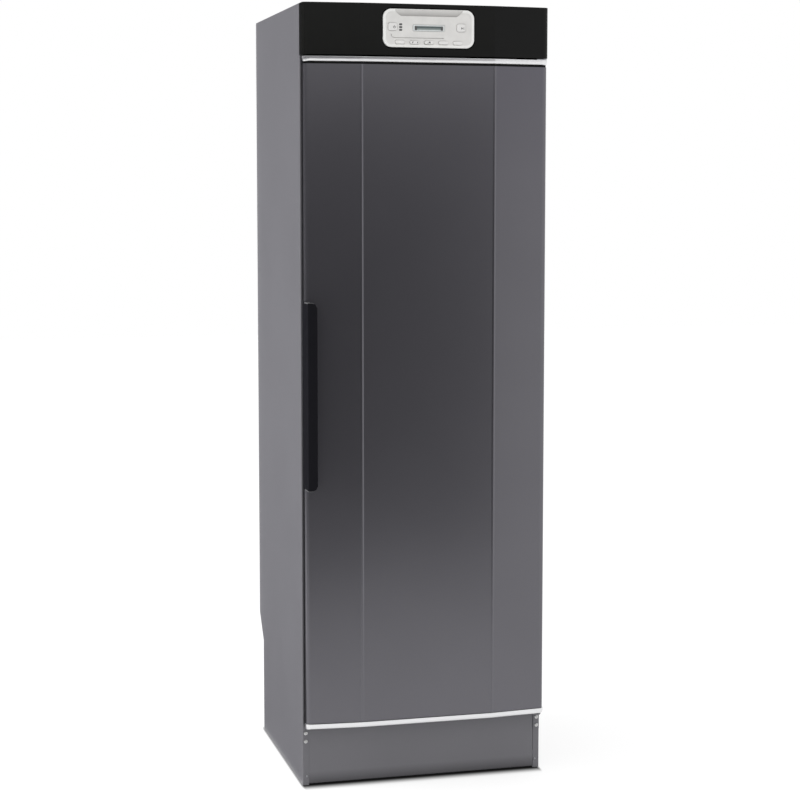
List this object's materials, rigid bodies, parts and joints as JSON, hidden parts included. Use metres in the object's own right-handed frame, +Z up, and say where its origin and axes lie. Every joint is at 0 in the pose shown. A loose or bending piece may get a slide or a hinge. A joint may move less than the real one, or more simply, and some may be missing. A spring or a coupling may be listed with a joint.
{
  "type": "drying cabinet",
  "caption": "Tall free-standing drying cabinet with a faceted full-height door, edge grip, control fascia, hanging racks and top exhaust.",
  "frame": {"origin": "middle of the whole footprint (grip to rear), on the floor", "axes": "+Z up, +X to the right of someone facing the door, -Y out of the front"},
  "size_m": [0.595, 0.635, 1.878],
  "materials": {
    "cabinet_paint": "satin metallic grey enamel on sheet steel",
    "door_paint": "satin metallic grey enamel on sheet steel, a shade darker than the sides",
    "chamber_paint": "light grey enamel",
    "black_paint": "black enamel",
    "zinc_steel": "zinc plated",
    "rack_steel": "powder coated light grey",
    "motor_steel": "dark enamel",
    "heater_steel": "heat-stained sheath",
    "black_plastic": "fine moulded grain",
    "fascia_plastic": "semi-gloss moulding",
    "grip_plastic": "satin moulding",
    "silver_trim": "satin silver",
    "plate_plastic": "light silver-grey moulding",
    "button_plastic": "light grey moulding",
    "display_window": "smoked window over a dark display",
    "board": "solder-mask green",
    "insulation": "mineral wool batt",
    "gasket_rubber": "soft extruded seal",
    "foot_rubber": "moulded foot",
    "nylon_black": "moulded nylon",
    "nylon_white": "moulded nylon",
    "spigot_plastic": "moulded plastic"
  },
  "bodies": {
    "cabinet": {"left_side_panel": "cabinet_paint", "right_side_panel": "cabinet_paint", "top_panel": "cabinet_paint", "plinth": "cabinet_paint", "rear_panel": "zinc_steel", "base_tray": "zinc_steel", "upper_hinge": "zinc_steel", "lower_hinge": "zinc_steel", "left_hinge_screw_1": "zinc_steel", "left_hinge_screw_2": "zinc_steel", "right_hinge_screw_1": "zinc_steel", "right_hinge_screw_2": "zinc_steel", "fan_housing": "zinc_steel", "heater_duct": "zinc_steel", "upper_rack": "rack_steel", "upper_rack_bracket": "rack_steel", "middle_rack_bracket": "rack_steel", "lower_rack_bracket": "rack_steel", "chamber_left_wall": "chamber_paint", "chamber_right_wall": "chamber_paint", "chamber_rear_wall": "chamber_paint", "chamber_floor": "chamber_paint", "chamber_ceiling": "chamber_paint", "front_frame": "black_paint", "fascia": "fascia_plastic", "control_plate": "plate_plastic", "display_window": "display_window", "control_board": "board", "front_left_foot": "foot_rubber", "front_right_foot": "foot_rubber", "rear_left_foot": "foot_rubber", "rear_right_foot": "foot_rubber", "cable_inlet": "nylon_black", "exhaust_spigot": "spigot_plastic", "door_sensor": "nylon_white", "humidity_sensor": "nylon_white", "fan_motor": "motor_steel", "heater_element": "heater_steel"},
    "door": {"door_skin": "door_paint", "door_frame": "black_plastic", "door_top_trim": "silver_trim", "door_bottom_trim": "silver_trim", "door_insulation": "insulation", "door_liner": "chamber_paint", "door_gasket": "gasket_rubber", "door_grip": "grip_plastic", "lower_hinge_bush": "nylon_white", "upper_hinge_bush": "nylon_white"},
    "middle_rack": {"middle_rack": "rack_steel"},
    "lower_rack": {"lower_rack": "rack_steel"},
    "impeller": {"fan_impeller": "nylon_black"},
    "filter": {"lint_filter": "nylon_white"},
    "power_button": {"power_button": "button_plastic"},
    "start_button": {"start_button": "button_plastic"},
    "option_key_1": {"option_key_1": "button_plastic"},
    "option_key_2": {"option_key_2": "button_plastic"},
    "option_key_3": {"option_key_3": "button_plastic"},
    "option_key_4": {"option_key_4": "button_plastic"},
    "option_key_5": {"option_key_5": "button_plastic"}
  },
  "joints": [
    {"name": "door_hinge", "type": "hinge", "parent": "cabinet", "child": "door", "pos_m": [0.281, -0.2575, 0.94], "axis": [0, 0, 1], "range_deg": [0, 115]},
    {"name": "middle_rack_fold", "type": "hinge", "parent": "cabinet", "child": "middle_rack", "pos_m": [0, 0.2205, 1.14], "axis": [-1, 0, 0], "range_deg": [0, 92]},
    {"name": "lower_rack_fold", "type": "hinge", "parent": "cabinet", "child": "lower_rack", "pos_m": [0, 0.2205, 0.68], "axis": [-1, 0, 0], "range_deg": [0, 92]},
    {"name": "impeller_spin", "type": "hinge", "parent": "cabinet", "child": "impeller", "pos_m": [0.095, 0.0555, 1.72], "axis": [0, 0, 1], "continuous": true},
    {"name": "lint_filter_pull", "type": "slide", "parent": "cabinet", "child": "filter", "axis": [0, 0, -1], "range_m": [0, 0.045]},
    {"name": "power_button_press", "type": "slide", "parent": "cabinet", "child": "power_button", "axis": [0, 1, 0], "range_m": [0, 0.0012], "stiffness_N_per_m": 400},
    {"name": "start_button_press", "type": "slide", "parent": "cabinet", "child": "start_button", "axis": [0, 1, 0], "range_m": [0, 0.0012], "stiffness_N_per_m": 400},
    {"name": "option_key_1_press", "type": "slide", "parent": "cabinet", "child": "option_key_1", "axis": [0, 1, 0], "range_m": [0, 0.0012], "stiffness_N_per_m": 400},
    {"name": "option_key_2_press", "type": "slide", "parent": "cabinet", "child": "option_key_2", "axis": [0, 1, 0], "range_m": [0, 0.0012], "stiffness_N_per_m": 400},
    {"name": "option_key_3_press", "type": "slide", "parent": "cabinet", "child": "option_key_3", "axis": [0, 1, 0], "range_m": [0, 0.0012], "stiffness_N_per_m": 400},
    {"name": "option_key_4_press", "type": "slide", "parent": "cabinet", "child": "option_key_4", "axis": [0, 1, 0], "range_m": [0, 0.0012], "stiffness_N_per_m": 400},
    {"name": "option_key_5_press", "type": "slide", "parent": "cabinet", "child": "option_key_5", "axis": [0, 1, 0], "range_m": [0, 0.0012], "stiffness_N_per_m": 400}
  ]
}
